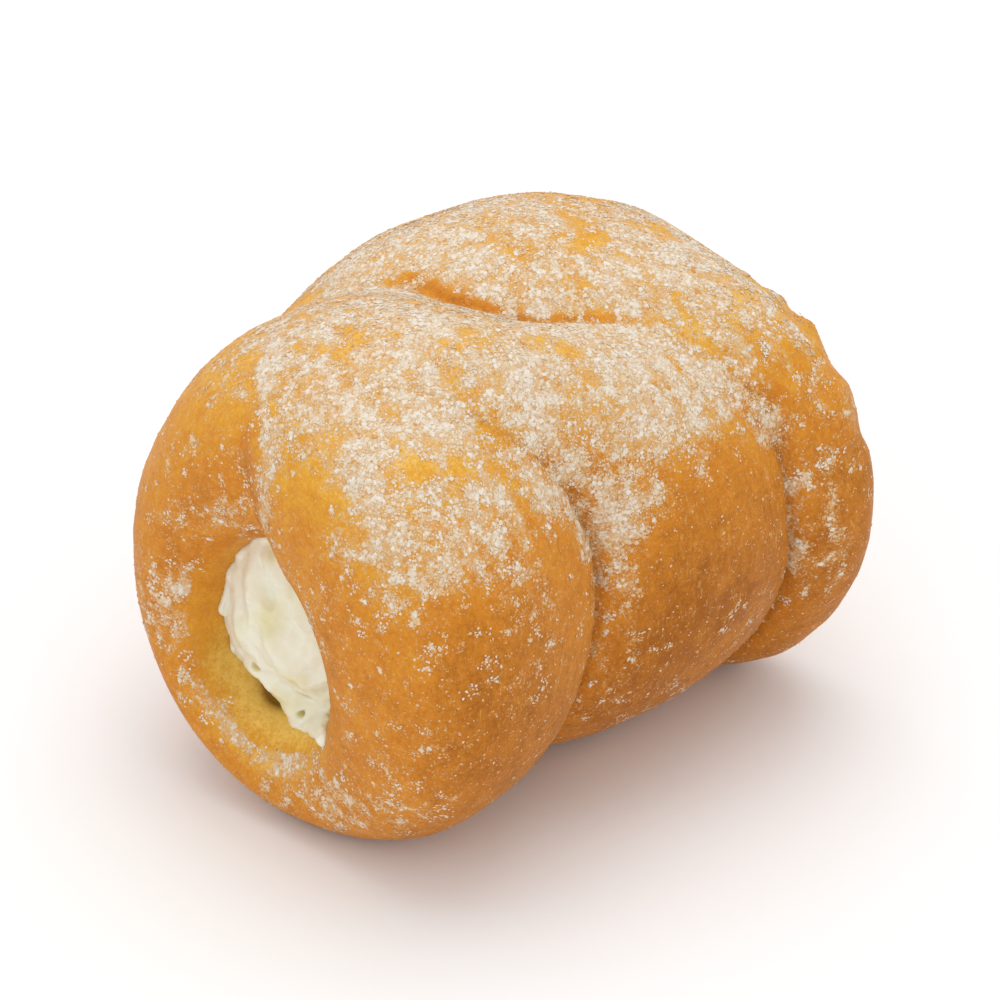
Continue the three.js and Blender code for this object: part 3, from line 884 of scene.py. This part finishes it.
def dough_material():
    m = Nodes("dough")
    here = m.add("TexCoord").outputs["Object"]
    strip = m.attribute("strip", "Vector")
    along = m.add("Mapping", {"Vector": strip, "Scale": (0.45, 1.0, 1.0)}).outputs["Vector"]
    cloud = m.noise(here, 330, 3, 0.55)
    fine = m.noise(here, 1500, 3, 0.6)
    streak = m.noise(along, 900, 3, 0.6)
    pores = m.noise(here, 4200, 2, 0.6)
    # The crust's tone: its own colouring, with the painted shade worked out on the mesh
    tone = m.vary(m.attribute("crust_tone_and_shade"), cloud, -0.08, 0.08)
    tone = m.vary(tone, fine, -0.09, 0.09)
    tone = m.vary(tone, pores, -0.08, 0.08)
    tone = m.vary(tone, streak, -0.06, 0.06, clamp=True)
    crust = m.ramp(tone, [(0.0, srgb(247, 207, 106)), (0.3, srgb(221, 160, 54)),
                          (0.6, srgb(207, 131, 40)), (1.0, srgb(158, 90, 18))])
    # Small light veins and blisters, longer along the strip
    blister = m.math("MULTIPLY", m.remap(m.noise(along, 1500, 3, 0.6), 0.56, 0.68),
                     m.remap(m.noise(here, 260, 2), 0.38, 0.6))
    crust = m.mix(m.math("MULTIPLY", blister, 0.3), crust, srgb(236, 188, 108))
    # The finest sugar: crystal-sized flecks, more of them where the sugar lies thick
    flecks = m.add("TexVoronoi", {"Vector": here, "Scale": 3000.0, "Randomness": 1.0}, feature="F1")
    drawn = m.add("SeparateColor", {"Color": flecks.outputs["Color"]})
    sugar = m.attribute("sugar")
    cover = m.vary(sugar, m.noise(here, 700, 2), -0.3, 0.2)
    fleck = m.remap(m.math("SUBTRACT", cover, drawn.outputs["Red"]), -0.12, 0.12)
    body = m.remap(flecks.outputs["Distance"], 0.3, 0.62, 1.0, 0.25)
    fleck = m.math("MULTIPLY", fleck, body)
    grain = m.mix(drawn.outputs["Green"], srgb(220, 178, 124), srgb(230, 208, 184))
    # Powder between the crystals, and painted shade on the wall under the ricotta's torn edge
    ragged = m.vary(sugar, m.noise(here, 1300, 4, 0.65), -0.35, 0.35)
    frost = m.mix(m.remap(ragged, 0.6, 1.1), srgb(217, 174, 115), srgb(220, 192, 151))
    crust = m.mix(m.math("MULTIPLY", m.attribute("cream_edge_shade"), 0.75), crust, srgb(150, 116, 58))
    frosted = m.mix(m.remap(ragged, 0.3, 0.95, 0.0, 0.68), crust, frost)
    colour = m.mix(m.math("MULTIPLY", fleck, m.remap(sugar, 0.2, 0.7, 0.45, 0.8)), frosted, grain)
    height = m.math("ADD", m.math("MULTIPLY", fine, 0.3), m.math("MULTIPLY", blister, 0.35))
    height = m.math("ADD", height, m.math("MULTIPLY", pores, 0.15))
    height = m.math("ADD", height, m.math("MULTIPLY", fleck, 0.3))
    return m.finish(Base_Color=colour, Roughness=m.remap(fleck, 0, 1, 0.48, 0.6), Specular_IOR_Level=0.12,
                    Subsurface_Weight=0.12, Subsurface_Radius=(1.0, 0.45, 0.15), Subsurface_Scale=0.0015,
                    Normal=m.bump(height, 0.00016))


def cream_material():
    m = Nodes("ricotta")
    here = m.add("TexCoord").outputs["Object"]
    fine = m.noise(here, 1100, 3, 0.55)
    whey = m.vary(m.attribute("whey"), m.noise(here, 500, 3, 0.55), -0.2, 0.2, clamp=True)
    colour = m.mix(m.math("MULTIPLY", whey, 0.85), srgb(236, 233, 214), srgb(224, 216, 166))
    # Painted shade in the torn edge and the pits
    colour = m.mix(m.math("MULTIPLY", m.attribute("deep"), 0.85), colour, srgb(196, 172, 62))
    return m.finish(Base_Color=colour, Roughness=0.38, Specular_IOR_Level=0.4, Subsurface_Weight=0.25,
                    Subsurface_Radius=(1.0, 0.9, 0.55), Subsurface_Scale=0.0013,
                    Normal=m.bump(fine, 0.00012, 0.8))


def sugar_material():
    m = Nodes("sugar")
    here = m.add("TexCoord").outputs["Object"]
    shade = m.vary(m.attribute("tint"), m.noise(here, 2500, 2), -0.1, 0.1, clamp=True)
    colour = m.ramp(shade, [(0.0, srgb(210, 150, 82)), (0.35, srgb(218, 182, 135)),
                            (0.7, srgb(222, 206, 184)), (1.0, srgb(230, 221, 208))])
    return m.finish(Base_Color=colour, Roughness=0.45, Specular_IOR_Level=0.05)


def floor_material():
    m = Nodes("floor")
    here = m.add("TexCoord").outputs["Object"]
    tone = m.mix(m.noise(here, 3, 2), srgb(247, 247, 247), srgb(250, 250, 250))
    return m.finish(Base_Color=tone, Roughness=0.7, Specular_IOR_Level=0.2)


# Stage, light and camera

def add_floor():
    bpy.ops.mesh.primitive_plane_add(size=6)
    floor = bpy.context.object
    floor.name = "floor"
    floor.data.materials.append(floor_material())


def add_light(name, place, target, size, power, colour=(1, 1, 1)):
    data = bpy.data.lights.new(name, "AREA")
    data.size = size
    data.energy = power
    data.color = colour
    light = bpy.data.objects.new(name, data)
    light.location = place
    light.rotation_euler = (Vector(target) - Vector(place)).to_track_quat("-Z", "Y").to_euler()
    bpy.context.scene.collection.objects.link(light)


def add_lights():
    middle = (0, 0, 0.035)
    add_light("key", (0.15, 0.1, 1.0), middle, 0.9, 4.0)
    add_light("fill", (-0.9, -0.3, 0.55), middle, 0.9, 1.5)
    world = bpy.data.worlds.new("studio")
    world.use_nodes = True
    background = world.node_tree.nodes["Background"]
    background.inputs["Color"].default_value = (1, 1, 1, 1)
    background.inputs["Strength"].default_value = 0.8
    bpy.context.scene.world = world


# Camera: its angles, distance in metres, millimetres a pixel at the roll, picture size in pixels, and a
# point of the roll with the pixel that it falls on
AZIMUTH = math.radians(-49.83)
ELEVATION = math.radians(34.23)
DISTANCE = 1.0
PIXEL = 0.15
PICTURE = 1000
SENSOR = 36
FOCUS = (50.0, 0.0, 30.0)
FOCUS_PIXEL = (504.7, 545.0)


def add_camera(shift):
    """Camera at the photo's angle; the focus point falls on its own pixel."""
    data = bpy.data.cameras.new("camera")
    data.sensor_width = SENSOR
    data.lens = DISTANCE / MM / PIXEL / PICTURE * SENSOR
    data.clip_start = 0.05
    level = math.cos(ELEVATION)
    back = Vector((math.sin(AZIMUTH) * level, -math.cos(AZIMUTH) * level, math.sin(ELEVATION)))
    right = Vector((math.cos(AZIMUTH), math.sin(AZIMUTH), 0))
    up = back.cross(right)
    focus = Vector(FOCUS) - Vector(shift)
    aside, below = (pixel - PICTURE / 2 for pixel in FOCUS_PIXEL)
    aim = focus - right * aside * PIXEL + up * below * PIXEL
    camera = bpy.data.objects.new("camera", data)
    camera.location = (aim * MM) + back * DISTANCE
    camera.rotation_euler = back.to_track_quat("Z", "Y").to_euler()
    bpy.context.scene.collection.objects.link(camera)
    bpy.context.scene.camera = camera


def main():
    bpy.context.scene.view_settings.view_transform = "Standard"
    obj, shift, p, n, quads, cover = make_dough()
    add_camera(shift)
    add_floor()
    add_lights()
    obj.data.materials.append(dough_material())
    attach(obj, "root")
    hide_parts("dough")
    filling = make_cream(shift)
    filling.data.materials.append(cream_material())
    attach(filling, "root")
    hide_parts("ricotta")
    sugar = sugar_material()
    for piece in make_sugar(shift, p, n, quads, cover):
        piece.data.materials.append(sugar)
        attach(piece, "root")


main()
